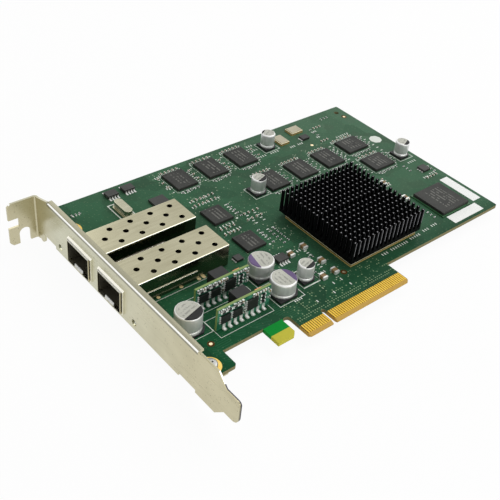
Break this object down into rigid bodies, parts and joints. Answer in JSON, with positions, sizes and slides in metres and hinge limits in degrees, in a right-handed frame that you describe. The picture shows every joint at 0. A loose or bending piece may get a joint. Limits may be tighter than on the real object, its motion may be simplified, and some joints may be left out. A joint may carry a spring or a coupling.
{
  "type": "ethernet adapter card",
  "caption": "Full-height network adapter card: slot bracket, transceiver cages, pin-fin heatsink, memory chips, power modules and a keyed edge connector.",
  "frame": {"origin": "on the key notch's centre line, at the tip of the edge connector, in the board's mid-plane", "axes": "+X from the bracket along the board, +Y from the edge connector to the top edge, +Z out of the component side"},
  "size_m": [0.1802, 0.1276, 0.0215],
  "materials": {
    "board": "solder mask over glass laminate",
    "contact_gold": "gold plating",
    "bracket_nickel": "nickel-plated sheet",
    "cage_nickel": "nickel-plated thin sheet",
    "screw_steel": "plated steel",
    "connector_black": "moulded",
    "led_clear": "clear moulded",
    "package_tan": "laminate edge",
    "lid_metal": "plated lid",
    "pad_grey": "soft thermal pad",
    "heatsink_black": "black anodised",
    "chip_black": "moulding compound",
    "substrate_green": "solder mask",
    "can_aluminium": "drawn can",
    "can_base_black": "moulded",
    "module_green": "solder mask over glass laminate",
    "ferrite_grey": "pressed ferrite",
    "copper": "bare copper",
    "tin": "tinned",
    "crystal_steel": "plated can",
    "ceramic_tan": "fired ceramic",
    "label_white": "blank label"
  },
  "bodies": {
    "root": {"circuit_board": "board", "edge_contacts_top": "contact_gold", "edge_contacts_bottom": "contact_gold", "near_port_contacts": "contact_gold", "far_port_contacts": "contact_gold", "bracket": "bracket_nickel", "near_cage_cover": "cage_nickel", "far_cage_cover": "cage_nickel", "near_cage_base": "cage_nickel", "far_cage_base": "cage_nickel", "bracket_screws": "screw_steel", "near_port_connector": "connector_black", "far_port_connector": "connector_black", "status_leds": "led_clear", "network_package": "package_tan", "network_lid": "lid_metal", "thermal_pad": "pad_grey", "heatsink": "heatsink_black", "memory_chip_1": "chip_black", "memory_chip_2": "chip_black", "memory_chip_3": "chip_black", "memory_chip_4": "chip_black", "memory_chip_5": "chip_black", "memory_chip_6": "chip_black", "memory_chip_7": "chip_black", "memory_chip_8": "chip_black", "port_chip_1": "chip_black", "port_chip_2": "chip_black", "processor_body": "chip_black", "outline_bodies": "chip_black", "small_chips": "chip_black", "front_module_chips": "chip_black", "rear_module_chips": "chip_black", "processor_substrate": "substrate_green", "capacitor_can_1": "can_aluminium", "capacitor_can_2": "can_aluminium", "capacitor_can_3": "can_aluminium", "capacitor_can_4": "can_aluminium", "capacitor_can_5": "can_aluminium", "capacitor_can_6": "can_aluminium", "capacitor_can_7": "can_aluminium", "capacitor_bases": "can_base_black", "front_module_board": "module_green", "rear_module_board": "module_green", "front_module_inductor": "ferrite_grey", "rear_module_inductor": "ferrite_grey", "inductor_straps": "copper", "front_module_pins": "tin", "rear_module_pins": "tin", "outline_leads": "tin", "chip_terminals": "tin", "crystal_can": "crystal_steel", "crystal_base": "crystal_steel", "oscillators": "ceramic_tan", "chip_capacitors": "ceramic_tan", "labels": "label_white"}
  },
  "joints": []
}
